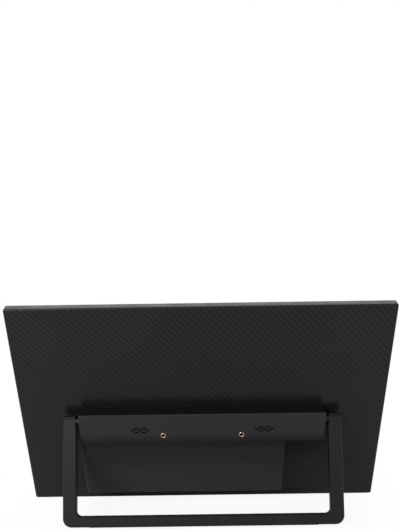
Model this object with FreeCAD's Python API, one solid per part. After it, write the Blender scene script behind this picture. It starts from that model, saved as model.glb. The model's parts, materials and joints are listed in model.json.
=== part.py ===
import FreeCAD, Part
import math
import os

Vector = FreeCAD.Vector
Placement = FreeCAD.Placement
Rotation = FreeCAD.Rotation

# Lengths are in millimetres, angles in degrees.
# The monitor is drawn upright with its stand folded: x runs right seen from the screen side,
# y runs to the rear and is zero on the flat back, z runs up from the lower edge of the casing.
# At the end the stand is swung out and the whole is leaned back onto the table.

# Screen and its borders
active_width = 344.2
active_height = 193.6
side_border = 3.9
top_border = 3.3
chin_height = 20.6
window_gap = 0.3

# Layers from the front of the casing to its back
bezel_lip = 1.0
tape_thick = 0.2
glass_thick = 1.1
films_thick = 0.5
guide_thick = 1.2
reflector_thick = 0.2
tray_sheet = 0.5
rear_space = 2.7
cover_wall = 1.6

# Casing
bezel_wall = 1.2
cover_rim = 1.2
back_round = 2.0
corner_extra = 0.4
front_bevel = 0.5
seam_bevel = 0.3
tongue_thick = 0.9

# Clearances
fit_gap = 0.3
shaft_gap = 0.05
panel_gap = 0.5
slip_gap = 0.1

# Screen panel
glass_tail = 8.0
glass_ledge = 2.0
tray_inset = 0.3
film_gap = 0.2
led_height = 1.2
flex_thick = 0.15
flex_width = 30.0
flex_count = 4
flex_lap = 1.6
driver_share = 0.76
driver_thick = 0.8
driver_lift = 2.0
driver_connector_height = 3.4
driver_connector_thick = 1.0
ribbon_width = 20.0
ribbon_thick = 0.3
ribbon_slack = 1.2

# Raised housing on the back
hump_height = 95.5
hump_bottom_depth = 13.0
bend_rise = 5.2
top_fall = 3.4
bend_drop = 31.1
bend_radius = 90.0
hump_corner = 1.2
hump_edge = 1.0
notch_width = 38.1
notch_drop = 29.8
finger_gap = 4.3

# Threaded inserts
insert_pitch = 75.0
insert_drop = 22.3
insert_radius = 2.8
insert_bore = 1.65
insert_length = 8.0
insert_proud = 0.2
insert_bevel = 0.3
insert_boss = 4.6

# Speakers
insert_to_speaker = 21.8
speaker_to_end = 58.3
speaker_drop = 16.3
speaker_length = 28.0
speaker_height = 13.0
speaker_thick = 6.2
speaker_rim = 2.0
speaker_well = 2.2
cone_thick = 0.6
cone_dome = 2.6
cloth_thick = 0.25
slot_length = 5.2
slot_height = 1.4
slot_pitch = 7.0
slot_row_pitch = 2.2
slot_rows = (2, 3, 2)
lead_radius = 0.6
lead_pitch = 2.4
lead_inset = 4.0

# Main board
board_thick = 1.2
board_stand = 6.0
board_width = 140.0
board_top_gap = 8.4
board_lift = 2.0
board_side_gap = 0.5
board_screw_inset = 4.0
socket_screw_inset = 17.0
shield_width = 40.0
shield_height = 30.0
shield_depth = 3.2
shield_sheet = 0.3
chip_side = 16.0
chip_thick = 1.2
coil_side = 6.0
coil_thick = 3.0
coil_pitch = 9.0
coil_count = 3
connector_height = 4.0
connector_depth = 2.4
key_connector_length = 6.0

# Sockets in the plug bay
socket_recess = 0.2
shell_sheet = 0.3
usb_width = 8.94
usb_height = 3.26
usb_length = 7.4
usb_tongue_width = 6.7
usb_tongue_thick = 0.7
hdmi_width = 11.2
hdmi_height = 3.4
hdmi_cut = 1.1
hdmi_length = 7.6
hdmi_tongue_width = 7.8
hdmi_tongue_thick = 0.6
socket_back = 1.2
tongue_short = 0.9
jack_width = 6.2
jack_height = 5.0
jack_length = 11.0
jack_barrel = 2.4
jack_barrel_length = 2.2
jack_bore = 1.8

# Keys
key_start = 15.0
key_pitch = 12.0
power_key_length = 9.0
menu_key_length = 6.5
key_height = 4.4
key_proud = 0.8
key_travel = 0.6
key_flange = 0.8
key_flange_thick = 0.9
key_stem = 1.0
key_stem_radius = 1.2
key_bevel = 0.3
switch_side = 4.0
switch_thick = 1.6
key_board_thick = 1.2
key_board_half = 3.6
key_post_margin = 4.0
key_post_radius = 2.2

# Screws
screw_head_radius = 2.2
screw_head_thick = 1.3
screw_radius = 1.2
screw_grip = 6.0
screw_boss = 2.8
small_head_radius = 1.7
small_head_thick = 1.1
small_screw_radius = 0.8
small_screw_grip = 3.0

# Stand
arm_width = 12.9
arm_depth = 7.4
arm_side_gap = 2.75
arm_back_gap = 5.5
bar_height = 10.2
bar_lift = 2.9
outer_corner = 8.2
inner_corner = 4.5
arm_bevel = 1.0
arm_tip = 5.5
arm_knuckle = 3.6
tip_line_drop = 2.8
tip_line_height = 1.2
tip_line_depth = 0.8
pad_thick = 0.4
pad_round = 0.3
pad_margin = 12.0
stand_open = 34.0

# Hinges
pivot_drop = 10.0
shaft_radius = 3.0
thread_radius = 2.5
flange_lip = 1.7
flange_thick = 1.4
shaft_flat = 0.7
washer_thick = 0.6
spring_sheet = 0.5
spring_cone = 0.3
spring_count = 3
nut_thick = 3.0
shaft_tail = 1.0
bracket_thick = 2.0
bracket_screw_pitch = 10.0
bracket_end = 4.0
bracket_trim = 0.6
boss_clear = 1.0
shaft_hole_gap = 0.6
arm_web = 2.0
head_room = 0.6
plug_thick = 1.8

# Feet
foot_length = 28.0
foot_depth = 5.0
foot_thick = 1.2
foot_round = 0.6
foot_corner = 2.0
foot_inset = 43.0

# Casing sizes that follow
casing_width = active_width + 2 * side_border
casing_height = active_height + top_border + chin_height
casing_half = casing_width / 2
casing_corner = back_round + corner_extra
active_half = active_width / 2

# Depths of the layers, counted from the flat back
inner_back = -cover_wall
seam = inner_back - cover_rim
tray_back = inner_back - rear_space
reflector_back = tray_back - tray_sheet
guide_back = reflector_back - reflector_thick
films_back = guide_back - guide_thick
glass_back = films_back - films_thick
glass_front = glass_back - glass_thick
lip_back = glass_front - tape_thick
front = lip_back - bezel_lip

# Housing positions that follow
hump_bottom = bar_lift + bar_height + finger_gap
hump_top = hump_bottom + hump_height
hump_bend = hump_top - bend_drop
hump_bend_depth = hump_bottom_depth + bend_rise
hump_top_depth = hump_bend_depth - top_fall
insert_x = insert_pitch / 2
speaker_x = insert_x + insert_to_speaker
hump_half = speaker_x + speaker_to_end
end_wall = hump_half - cover_wall
notch_top = hump_top - notch_drop
notch_wall = notch_width - hump_half
lower_slope = bend_rise / (hump_bend - hump_bottom)
upper_slope = -top_fall / bend_drop

# Hinge positions that follow
knuckle_radius = shaft_radius + flange_lip
pivot_depth = arm_back_gap + arm_depth / 2
pivot_height = hump_top - pivot_drop
pivot = Vector(0, pivot_depth, pivot_height)
arm_in = hump_half + arm_side_gap
arm_out = arm_in + arm_width

x_axis = Vector(1, 0, 0)
y_axis = Vector(0, 1, 0)
z_axis = Vector(0, 0, 1)
middle = Vector(0, 0, 0)
tiny = 1e-6

# Turns a shape drawn long in x and thick along y so that it is long in z and thick along x
to_side = Rotation(Vector(1, 1, 1), -120)


def block(x, y, z):
    """Box between three pairs of limits."""
    return Part.makeBox(x[1] - x[0], y[1] - y[0], z[1] - z[0], Vector(x[0], y[0], z[0]))


def rod(radius, start, stop):
    """Round bar between two points."""
    step = stop.sub(start)
    return Part.makeCylinder(radius, step.Length, start, step)


def cross_rod(radius, x, depth, height):
    """Round bar along x between two limits."""
    return rod(radius, Vector(x[0], depth, height), Vector(x[1], depth, height))


def deep_rod(radius, x, y, height):
    """Round bar along y between two limits."""
    return rod(radius, Vector(x, y[0], height), Vector(x, y[1], height))


def runs_along(edge, axis):
    """True for a straight edge along the axis."""
    step = edge.Vertexes[-1].Point.sub(edge.Vertexes[0].Point)
    return step.Length > tiny and abs(abs(step.normalize().dot(axis)) - 1) < tiny


def rounded_block(x, y, z, radius, axis):
    """Box whose four edges along one axis are rounded."""
    solid = block(x, y, z)
    edges = [edge for edge in solid.Edges if runs_along(edge, axis)]
    return solid.makeFillet(radius, edges)


def edges_at_depth(solid, depth):
    """Edges that lie whole in one plane across y."""
    box_of = [(edge, edge.BoundBox) for edge in solid.Edges]
    return [edge for edge, box in box_of
            if abs(box.YMin - depth) < tiny * 100 and abs(box.YMax - depth) < tiny * 100]


def stadium(length, height, y):
    """Bar with two round ends: long in x, thick along y, centred on the origin."""
    reach = (length - height) / 2
    parts = [block((-reach, reach), y, (-height / 2, height / 2))]
    parts += [deep_rod(height / 2, side * reach, y, 0) for side in (-1, 1)]
    return parts[0].multiFuse(parts[1:]).removeSplitter()


def prism(points, direction):
    """Solid drawn from a flat polygon along a direction."""
    wire = Part.makePolygon([Vector(*point) for point in points + points[:1]])
    return Part.Face(wire).extrude(direction)


def joined(solids):
    """Solids fused into one."""
    return solids[0].multiFuse(solids[1:]).removeSplitter()


def mirrored(solid):
    """The same piece on the other side."""
    return solid.mirror(middle, x_axis)


def pair(solid):
    """A piece and its mirror copy as one group."""
    return Part.Compound([solid, mirrored(solid)])


def at(solid, x, y, z, turn=None):
    """A copy of a solid, turned and then put at a point."""
    moved = solid.copy()
    moved.Placement = Placement(Vector(x, y, z), turn or Rotation())
    return moved


def placed(solid, placement):
    """A copy of a finished piece, moved from where it stands."""
    moved = solid.copy()
    moved.Placement = placement.multiply(moved.Placement)
    return moved


# Rear face of the housing
def hump_depth(height):
    """Depth of the straight part of the rear face at a height."""
    if height < hump_bend:
        return hump_bottom_depth + lower_slope * (height - hump_bottom)
    return hump_top_depth + upper_slope * (height - hump_top)


def hump_body(wall, y_front, half):
    """Housing with its softly bent rear face, drawn in by a wall on every side but the front."""
    low = hump_bottom + wall
    high = hump_top - wall
    low_line = hump_bottom_depth - wall * math.hypot(1, lower_slope)
    high_line = hump_top_depth - wall * math.hypot(1, upper_slope)
    bend = (high_line - low_line - upper_slope * hump_top + lower_slope * hump_bottom)
    bend = bend / (lower_slope - upper_slope)
    corner = Vector(-half, low_line + lower_slope * (bend - hump_bottom), bend)
    down = Vector(0, -lower_slope, -1).normalize()
    up = Vector(0, upper_slope, 1).normalize()
    half_turn = (math.atan(lower_slope) - math.atan(upper_slope)) / 2
    radius = bend_radius - wall
    reach = radius * math.tan(half_turn)
    sag = radius * (1 / math.cos(half_turn) - 1)
    arc_low = corner + down * reach
    arc_high = corner + up * reach
    arc_middle = corner + (down + up).normalize() * sag
    low_rear = Vector(-half, low_line + lower_slope * (low - hump_bottom), low)
    high_rear = Vector(-half, high_line + upper_slope * (high - hump_top), high)
    low_front = Vector(-half, y_front, low)
    high_front = Vector(-half, y_front, high)
    wire = Part.Wire([
        Part.makeLine(low_front, low_rear),
        Part.makeLine(low_rear, arc_low),
        Part.Arc(arc_low, arc_middle, arc_high).toShape(),
        Part.makeLine(arc_high, high_rear),
        Part.makeLine(high_rear, high_front),
        Part.makeLine(high_front, low_front),
    ])
    return Part.Face(wire).extrude(x_axis * (2 * half))


def notch_body(wall):
    """Space of the plug bay, grown by a wall on its two inner sides."""
    deep = hump_bend_depth + hump_edge
    return block((-casing_half, notch_wall + wall), (0, deep), (0, notch_top + wall))


def rear_edges(solid):
    """Edges round the rear face of the housing, without the soft bend across it."""
    heights = (hump_bottom, hump_top, notch_top)
    found = []
    for edge in solid.Edges:
        box = edge.BoundBox
        if box.YMin < hump_bottom_depth - tiny:
            continue
        level = runs_along(edge, x_axis)
        if not level or min(abs(box.ZMin - height) for height in heights) < tiny * 100:
            found.append(edge)
    return found


# Plane of the upper part of the rear face, with z up the slope and y outward
slope_turn = Rotation(x_axis, math.degrees(math.atan(-upper_slope)))


def on_slope(solid, x, height):
    """Puts a solid drawn about the origin on the upper rear face."""
    return at(solid, x, hump_depth(height), height, slope_turn)


# Rear cover
outer_plate = rounded_block(
    (-casing_half, casing_half), (seam, 0), (0, casing_height), casing_corner, y_axis)
outer_plate = outer_plate.makeFillet(back_round, edges_at_depth(outer_plate, 0))
outer_plate = outer_plate.makeChamfer(seam_bevel, edges_at_depth(outer_plate, seam))
outer_hump = hump_body(0, inner_back, hump_half).cut(notch_body(0))
outer_hump = outer_hump.makeFillet(hump_corner, [e for e in outer_hump.Edges if runs_along(e, y_axis)])
outer_hump = outer_hump.makeFillet(hump_edge, rear_edges(outer_hump))
cover_in = casing_half - cover_wall
cavity_plate = block((-cover_in, cover_in), (seam, inner_back), (cover_wall, casing_height - cover_wall))
cavity_hump = hump_body(cover_wall, seam, end_wall)
cavity_notch = notch_body(cover_wall).cut(
    block((-casing_half, casing_half), (seam, inner_back), (0, hump_top)))
bay_floor = block((-casing_half, notch_wall + cover_wall), (inner_back, 0), (0, notch_top + cover_wall))
cavity_hump = cavity_hump.cut(cavity_notch).cut(bay_floor)
rear_cover = outer_plate.fuse(outer_hump).cut(cavity_plate).cut(cavity_hump)

# Tongue that snaps inside the bezel
tongue_out = bezel_wall + fit_gap
tongue_in = tongue_out + tongue_thick
tongue_y = (tray_back + fit_gap, inner_back)
tongue = block(
    (tongue_out - casing_half, casing_half - tongue_out), tongue_y, (tongue_out, casing_height - tongue_out))
tongue = tongue.cut(block(
    (tongue_in - casing_half, casing_half - tongue_in), tongue_y, (tongue_in, casing_height - tongue_in)))
rear_cover = rear_cover.fuse(tongue)

# Main board position, with its top edge kept under the bosses of the inserts
board_front = inner_back + board_stand
board_back = board_front + board_thick
board_low = hump_bottom + cover_wall + board_lift
board_high = hump_top - insert_drop - insert_boss - board_top_gap
board_height = board_high - board_low
board_left = notch_wall + cover_wall + board_side_gap
board_right = board_left + board_width
board_screws_at = [
    (x, z)
    for x in (board_left + socket_screw_inset, board_right - board_screw_inset)
    for z in (board_low + board_screw_inset, board_high - board_screw_inset)
]

# Hinge stack along x, from the end wall inward
flange_out = end_wall - fit_gap
flange_in = flange_out - flange_thick
outer_washer_in = flange_in - washer_thick
bracket_out = outer_washer_in - slip_gap
bracket_in = bracket_out - bracket_thick
inner_washer_out = bracket_in - slip_gap
inner_washer_in = inner_washer_out - washer_thick
spring_step = spring_sheet + spring_cone
springs_in = inner_washer_in - spring_count * spring_step
nut_in = springs_in - nut_thick
shaft_in = nut_in - shaft_tail
bracket_screws_x = [shaft_in - boss_clear - screw_boss]
bracket_screws_x.append(bracket_screws_x[0] - bracket_screw_pitch)
bracket_leg_back = pivot_depth - knuckle_radius - fit_gap
bracket_leg_front = bracket_leg_back - bracket_thick

# Bosses inside the housing, each with its screw hole
deepest = hump_bend_depth + hump_edge
boss_spots = [(x, z, board_back) for x, z in board_screws_at]
boss_spots += [(side * x, pivot_height, bracket_leg_back) for x in bracket_screws_x for side in (-1, 1)]
bosses = [deep_rod(screw_boss, x, (y, deepest), z) for x, z, y in boss_spots]
insert_height = hump_top - insert_drop
insert_back = hump_depth(insert_height) + insert_proud
insert_front = insert_back - insert_length
bosses += [deep_rod(insert_boss, side * insert_x, (insert_front, deepest), insert_height)
           for side in (-1, 1)]
trim = hump_body(cover_wall / 2, inner_back, hump_half - cover_wall / 2)
rear_cover = rear_cover.multiFuse([boss.common(trim) for boss in bosses])
hole_radius = screw_radius + shaft_gap
holes = [deep_rod(hole_radius, x, (y, y + screw_grip + fit_gap), z) for x, z, y in boss_spots]
holes += [deep_rod(insert_radius + shaft_gap, side * insert_x, (insert_front, deepest), insert_height)
          for side in (-1, 1)]

# Posts that carry the key board
key_lengths = (power_key_length, menu_key_length, menu_key_length, menu_key_length)
key_heights = [hump_bottom + key_start + key_pitch * index for index in range(len(key_lengths))]
flange_top = end_wall - fit_gap
stem_end = flange_top - key_flange_thick - key_stem
switch_out = stem_end - key_travel - fit_gap
key_board_out = switch_out - switch_thick
key_board_in = key_board_out - key_board_thick
key_depth = hump_bottom_depth / 2
post_low = key_heights[0] - power_key_length / 2 - key_post_margin - key_post_radius
post_high = key_heights[-1] + menu_key_length / 2 + key_post_margin + key_post_radius
posts_at = (post_low, post_high)
rear_cover = rear_cover.multiFuse(
    [cross_rod(key_post_radius, (key_board_out, end_wall + tiny), key_depth, z) for z in posts_at])
holes += [cross_rod(small_screw_radius + shaft_gap,
                    (key_board_out, key_board_out + small_screw_grip + fit_gap), key_depth, z)
          for z in posts_at]

# Grille slots
for row, count in enumerate(slot_rows):
    lift = (row - (len(slot_rows) - 1) / 2) * slot_row_pitch
    for index in range(count):
        shift = (index - (count - 1) / 2) * slot_pitch
        cutter = stadium(slot_length, slot_height, (-2 * cover_wall, cover_wall))
        cutter.translate(Vector(shift, 0, lift))
        cutter = Part.Compound([cutter])
        holes += [on_slope(cutter, side * speaker_x, hump_top - speaker_drop) for side in (-1, 1)]

# Holes for the shafts and the keys
for side in (-1, 1):
    limits = sorted((side * (end_wall - cover_wall), side * (hump_half + cover_wall)))
    holes.append(cross_rod(shaft_radius + shaft_hole_gap, limits, pivot_depth, pivot_height))
key_cut = (0, 3 * cover_wall)
holes += [at(stadium(length + 2 * fit_gap, key_height + 2 * fit_gap, key_cut),
             end_wall - cover_wall, key_depth, z, to_side)
          for length, z in zip(key_lengths, key_heights)]


# Sockets, drawn with the mouth at y = 0 and the body toward +y
def hollow(outer, inner, tongue_width, tongue_high, length):
    """Socket shell with a closed back and a contact tongue."""
    inside = block((-tongue_width / 2, tongue_width / 2), (tongue_short, length),
                   (-tongue_high / 2, tongue_high / 2))
    return outer.cut(inner).fuse(inside).removeSplitter()


def hdmi_bar(grow, y):
    """Bar with two cut lower corners."""
    wide = hdmi_width / 2 + grow
    high = hdmi_height / 2 + grow
    points = [(-wide, high), (wide, high), (wide, hdmi_cut - high), (wide - hdmi_cut, -high),
              (hdmi_cut - wide, -high), (-wide, hdmi_cut - high)]
    return prism([(x, y[0], z) for x, z in points], y_axis * (y[1] - y[0]))


usb_shape = hollow(
    stadium(usb_width, usb_height, (0, usb_length)),
    stadium(usb_width - 2 * shell_sheet, usb_height - 2 * shell_sheet, (0, usb_length - socket_back)),
    usb_tongue_width, usb_tongue_thick, usb_length)
hdmi_shape = hollow(
    hdmi_bar(0, (0, hdmi_length)), hdmi_bar(-shell_sheet, (0, hdmi_length - socket_back)),
    hdmi_tongue_width, hdmi_tongue_thick, hdmi_length)
jack_shape = joined([
    deep_rod(jack_barrel, 0, (0, jack_barrel_length), 0),
    block((-jack_width / 2, jack_width / 2), (jack_barrel_length, jack_length),
          (-jack_height / 2, jack_height / 2)),
]).cut(deep_rod(jack_bore, 0, (0, jack_length - socket_back), 0))
mouth = notch_wall + socket_recess
socket_widths = (jack_width, hdmi_width, usb_width, usb_width)
socket_gap = (board_height - sum(socket_widths)) / (len(socket_widths) + 1)
jack_z = board_low + socket_gap + jack_width / 2
hdmi_z = jack_z + jack_width / 2 + socket_gap + hdmi_width / 2
usb_low_z = hdmi_z + hdmi_width / 2 + socket_gap + usb_width / 2
usb_high_z = usb_low_z + usb_width + socket_gap


def in_bay(solid, height_of_socket, z):
    """Puts a socket on the rear of the main board, mouth in the plug bay wall."""
    return at(solid, mouth, board_back + height_of_socket / 2, z, to_side)


wall_cut = (-2 * cover_wall, 2 * cover_wall)
usb_cut = stadium(usb_width + 2 * fit_gap, usb_height + 2 * fit_gap, wall_cut)
holes += [in_bay(usb_cut, usb_height, z) for z in (usb_low_z, usb_high_z)]
holes.append(in_bay(hdmi_bar(fit_gap, wall_cut), hdmi_height, hdmi_z))
holes.append(in_bay(deep_rod(jack_barrel + fit_gap, 0, wall_cut, 0), jack_height, jack_z))
rear_cover = rear_cover.cut(holes).removeSplitter()

# Front bezel
bezel_in = casing_half - bezel_wall
front_bezel = rounded_block(
    (-casing_half, casing_half), (front, seam), (0, casing_height), casing_corner, y_axis)
front_bezel = front_bezel.makeChamfer(seam_bevel, edges_at_depth(front_bezel, seam))
front_bezel = front_bezel.cut(block(
    (-bezel_in, bezel_in), (lip_back, seam), (bezel_wall, casing_height - bezel_wall)))
window_half = active_half + window_gap
window_low = chin_height - window_gap
window_high = chin_height + active_height + window_gap
front_bezel = front_bezel.cut(
    block((-window_half, window_half), (front, lip_back), (window_low, window_high)))
front_bezel = front_bezel.makeChamfer(front_bevel, edges_at_depth(front_bezel, front))

# Screen panel
glass_half = bezel_in - panel_gap
glass_low = chin_height - glass_tail
glass_high = casing_height - bezel_wall - panel_gap
lcd_glass = block((-glass_half, glass_half), (glass_front, glass_back), (glass_low, glass_high))
tape_half = glass_half - fit_gap
bezel_tape = block(
    (-tape_half, tape_half), (lip_back, glass_front), (glass_low + fit_gap, glass_high - fit_gap))
bezel_tape = bezel_tape.cut(block(
    (-window_half - fit_gap, window_half + fit_gap), (lip_back, glass_front),
    (window_low - fit_gap, window_high + fit_gap)))
tray_half = glass_half - tray_inset
tray_low = glass_low + glass_ledge
tray_high = glass_high - tray_inset
film_half = tray_half - tray_sheet - film_gap
led_low = tray_low + tray_sheet
film_low = led_low + led_height + film_gap
film_high = tray_high - tray_sheet - film_gap
panel_tray = block((-tray_half, tray_half), (glass_back, tray_back), (tray_low, tray_high))
panel_tray = panel_tray.cut(block(
    (tray_sheet - tray_half, tray_half - tray_sheet), (glass_back, reflector_back),
    (led_low, tray_high - tray_sheet)))


def sheet(y):
    """Full layer inside the tray between two depths."""
    return block((-film_half, film_half), y, (film_low, film_high))


optical_films = sheet((glass_back, films_back))
light_guide_plate = sheet((films_back, guide_back))
reflector_sheet = sheet((guide_back, reflector_back))
led_strip = block((-film_half, film_half), (glass_back, reflector_back), (led_low, led_low + led_height))

# Panel driver board behind the chin
driver_half = active_half * driver_share
driver_front = glass_back + flex_thick
driver_back = driver_front + driver_thick
driver_low = bezel_wall + driver_lift
driver_high = glass_low - panel_gap
driver_middle = (driver_low + driver_high) / 2
connector_half = driver_connector_height / 2
ribbon_half = ribbon_width / 2
panel_driver_board = joined([
    block((-driver_half, driver_half), (driver_front, driver_back), (driver_low, driver_high)),
    block((-ribbon_half, ribbon_half), (driver_back, driver_back + driver_connector_thick),
          (driver_middle - connector_half, driver_middle + connector_half)),
])
driver_pad = block((-driver_half, driver_half), (lip_back, driver_front), (driver_low, driver_middle))
flex_pitch = 2 * driver_half / flex_count
flex_spots = [(index - (flex_count - 1) / 2) * flex_pitch for index in range(flex_count)]
panel_flexes = Part.Compound([
    block((x - flex_width / 2, x + flex_width / 2), (glass_back, driver_front),
          (driver_middle + fit_gap, glass_low + flex_lap))
    for x in flex_spots
])

# Ribbon from the main board down to the driver board
board_plug_low = board_low + board_screw_inset
board_plug_front = board_front - connector_depth
plug_middle = board_front - connector_depth / 2
space_middle = inner_back - rear_space / 2
driver_plug_middle = driver_back + driver_connector_thick / 2
entry = hump_bottom + cover_wall
ribbon_line = [
    (plug_middle, board_plug_low),
    (plug_middle, entry + 3 * ribbon_slack),
    (space_middle, entry + ribbon_slack),
    (space_middle, driver_middle + connector_half + 2 * ribbon_slack),
    (driver_plug_middle, driver_middle + connector_half),
]
half_thick = Vector(0, ribbon_thick / 2, -ribbon_thick / 2)
ribbon_points = [Vector(-ribbon_half, y, z) for y, z in ribbon_line]
ribbon_outline = [point + half_thick for point in ribbon_points]
ribbon_outline += [point - half_thick for point in reversed(ribbon_points)]
panel_ribbon = prism([tuple(point) for point in ribbon_outline], x_axis * ribbon_width)

# Main board with its connectors
lead_x = speaker_x - speaker_length / 2 + lead_inset
connector_back = board_back + connector_depth
key_ribbon_z = (board_low + board_high) / 2
key_ribbon_half = connector_height
board_pieces = [
    block((board_left, board_right), (board_front, board_back), (board_low, board_high)),
    block((-ribbon_half, ribbon_half), (board_plug_front, board_front),
          (board_plug_low, board_plug_low + connector_height)),
    block((board_right - key_connector_length, board_right), (board_back, connector_back),
          (key_ribbon_z - key_ribbon_half, key_ribbon_z + key_ribbon_half)),
]
board_pieces += [
    block((side * lead_x - lead_pitch, side * lead_x + lead_pitch), (board_back, connector_back),
          (board_high - connector_height, board_high))
    for side in (-1, 1)
]
main_board = joined(board_pieces).cut(
    [deep_rod(hole_radius, x, (board_front, board_back), z) for x, z in board_screws_at])
panel_ribbon = panel_ribbon.cut([main_board, panel_driver_board])


def screw(head_radius, head_thick, radius, length):
    """Pan head screw along y with its head under y = 0 and its shank above."""
    return joined([deep_rod(head_radius, 0, (-head_thick, 0), 0), deep_rod(radius, 0, (0, length), 0)])


board_screw = screw(screw_head_radius, screw_head_thick, screw_radius, board_thick + screw_grip)
board_screws = Part.Compound([at(board_screw, x, board_front, z) for x, z in board_screws_at])

# Shield can over the scaler chip, and the power coils beside it
shield_x = board_left + socket_screw_inset + screw_boss + connector_height
shield_z = key_ribbon_z - shield_height / 2
shield_box = ((shield_x, shield_x + shield_width), (board_back, board_back + shield_depth),
              (shield_z, shield_z + shield_height))
shield_can = block(*shield_box).cut(block(
    (shield_x + shield_sheet, shield_x + shield_width - shield_sheet),
    (board_back, board_back + shield_depth - shield_sheet),
    (shield_z + shield_sheet, shield_z + shield_height - shield_sheet)))
chip_middle = shield_x + shield_width / 2
scaler_chip = block((chip_middle - chip_side / 2, chip_middle + chip_side / 2),
                    (board_back, board_back + chip_thick),
                    (key_ribbon_z - chip_side / 2, key_ribbon_z + chip_side / 2))
coil_x = shield_x + shield_width + coil_side
power_coils = Part.Compound([
    rounded_block((coil_x + index * coil_pitch, coil_x + index * coil_pitch + coil_side),
                  (board_back, board_back + coil_thick),
                  (key_ribbon_z - coil_side / 2, key_ribbon_z + coil_side / 2), coil_side / 4, y_axis)
    for index in range(coil_count)
])

usb_c_sockets = Part.Compound([in_bay(usb_shape, usb_height, z) for z in (usb_low_z, usb_high_z)])
mini_hdmi_socket = in_bay(hdmi_shape, hdmi_height, hdmi_z)
audio_jack = in_bay(jack_shape, jack_height, jack_z)

# Speakers, drawn on the slope with the inner face of the wall at y = -cover_wall
basket_x = (-speaker_length / 2, speaker_length / 2)
basket_z = (-speaker_height / 2, speaker_height / 2)
well_x = (basket_x[0] + speaker_rim, basket_x[1] - speaker_rim)
well_z = (basket_z[0] + speaker_rim, basket_z[1] - speaker_rim)
basket_y = (inner_back - speaker_thick, inner_back)
well_y = (inner_back - speaker_well, inner_back)
basket = block(basket_x, basket_y, basket_z).cut(block(well_x, well_y, well_z))
cloth = block((well_x[0] + fit_gap, well_x[1] - fit_gap), (inner_back - cloth_thick, inner_back),
              (well_z[0] + fit_gap, well_z[1] - fit_gap))
cone_y = (well_y[0], well_y[0] + cone_thick)
cone = joined([
    block((well_x[0] + fit_gap, well_x[1] - fit_gap), cone_y, (well_z[0] + fit_gap, well_z[1] - fit_gap)),
    deep_rod(cone_dome, 0, (cone_y[0], cone_y[1] + cone_thick), 0),
])
speaker_z = hump_top - speaker_drop
left_speaker = on_slope(basket, -speaker_x, speaker_z).cut(rear_cover)
right_speaker = on_slope(basket, speaker_x, speaker_z).cut(rear_cover)
speaker_cones = Part.Compound([on_slope(cone, side * speaker_x, speaker_z) for side in (-1, 1)])
speaker_cloths = Part.Compound([on_slope(cloth, side * speaker_x, speaker_z) for side in (-1, 1)])
lead_top = hump_depth(speaker_z) - cover_wall - speaker_thick / 2
leads = []
for side in (-1, 1):
    for step in (-1, 1):
        x = side * lead_x + step * lead_pitch / 2
        lead_foot = Vector(x, board_back + connector_depth / 2, board_high - connector_height / 2)
        lead = rod(lead_radius, lead_foot, Vector(x, lead_top, speaker_z))
        lead = lead.cut([main_board, left_speaker, right_speaker])
        leads.append(lead)
speaker_leads = Part.Compound(leads)

# Threaded inserts, with a bevel at the mouth
insert = deep_rod(insert_radius, insert_x, (insert_front, insert_back), insert_height)
insert = insert.cut(deep_rod(insert_bore, insert_x, (insert_front, insert_back), insert_height))
mouth_bevel = Part.makeCone(insert_bore, insert_bore + insert_bevel, insert_bevel,
                            Vector(insert_x, insert_back - insert_bevel, insert_height), y_axis)
threaded_inserts = pair(insert.cut(mouth_bevel))

# Keys with their board
keys = []
for length, z in zip(key_lengths, key_heights):
    cap = stadium(length, key_height, (flange_top, hump_half + key_proud))
    cap = cap.makeChamfer(key_bevel, edges_at_depth(cap, hump_half + key_proud))
    key = joined([
        cap,
        stadium(length + 2 * key_flange, key_height + 2 * key_flange,
                (flange_top - key_flange_thick, flange_top)),
        deep_rod(key_stem_radius, 0, (stem_end, flange_top - key_flange_thick), 0),
    ])
    keys.append(at(key, 0, key_depth, z, to_side))
power_key, menu_key, up_key, down_key = keys
switch_half = switch_side / 2
key_switches = Part.Compound([
    block((key_board_out, switch_out), (key_depth - switch_half, key_depth + switch_half),
          (z - switch_half, z + switch_half))
    for z in key_heights
])
ribbon_y = board_back + connector_depth / 2
key_plug_in = key_board_in - connector_depth
key_board = joined([
    block((key_board_in, key_board_out), (key_depth - key_board_half, key_depth + key_board_half),
          (post_low - key_post_radius, post_high + key_post_radius)),
    block((key_plug_in, key_board_in), (ribbon_y - connector_depth / 2, ribbon_y + connector_depth / 2),
          (key_ribbon_z - key_ribbon_half, key_ribbon_z + key_ribbon_half)),
]).cut([
    cross_rod(small_screw_radius + shaft_gap, (key_board_in, key_board_out), key_depth, z) for z in posts_at
])
key_screw = screw(
    small_head_radius, small_head_thick, small_screw_radius, key_board_thick + small_screw_grip)
key_board_screws = Part.Compound([at(key_screw, key_board_in, key_depth, z, to_side) for z in posts_at])
key_ribbon = block((board_right, key_plug_in), (ribbon_y - ribbon_thick / 2, ribbon_y + ribbon_thick / 2),
                   (key_ribbon_z - key_ribbon_half / 2, key_ribbon_z + key_ribbon_half / 2))

# Hinge pieces on the right side
bracket_half = knuckle_radius
bracket_z = (pivot_height - bracket_half, pivot_height + bracket_half)
bracket_rear = pivot_depth + bracket_half - bracket_trim
leg_in = bracket_screws_x[-1] - bracket_end
bracket_right = joined([
    block((bracket_in, bracket_out), (bracket_leg_front, bracket_rear), bracket_z),
    block((leg_in, bracket_out), (bracket_leg_front, bracket_leg_back), bracket_z),
])
bracket_right = bracket_right.cut(
    [cross_rod(shaft_radius + shaft_gap, (bracket_in, bracket_out), pivot_depth, pivot_height)]
    + [deep_rod(hole_radius, x, (bracket_leg_front, bracket_leg_back), pivot_height)
       for x in bracket_screws_x])
bracket_screw = screw(screw_head_radius, screw_head_thick, screw_radius, bracket_thick + screw_grip)
bracket_screws = Part.Compound([
    at(bracket_screw, side * x, bracket_leg_front, pivot_height)
    for x in bracket_screws_x for side in (-1, 1)
])

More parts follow.
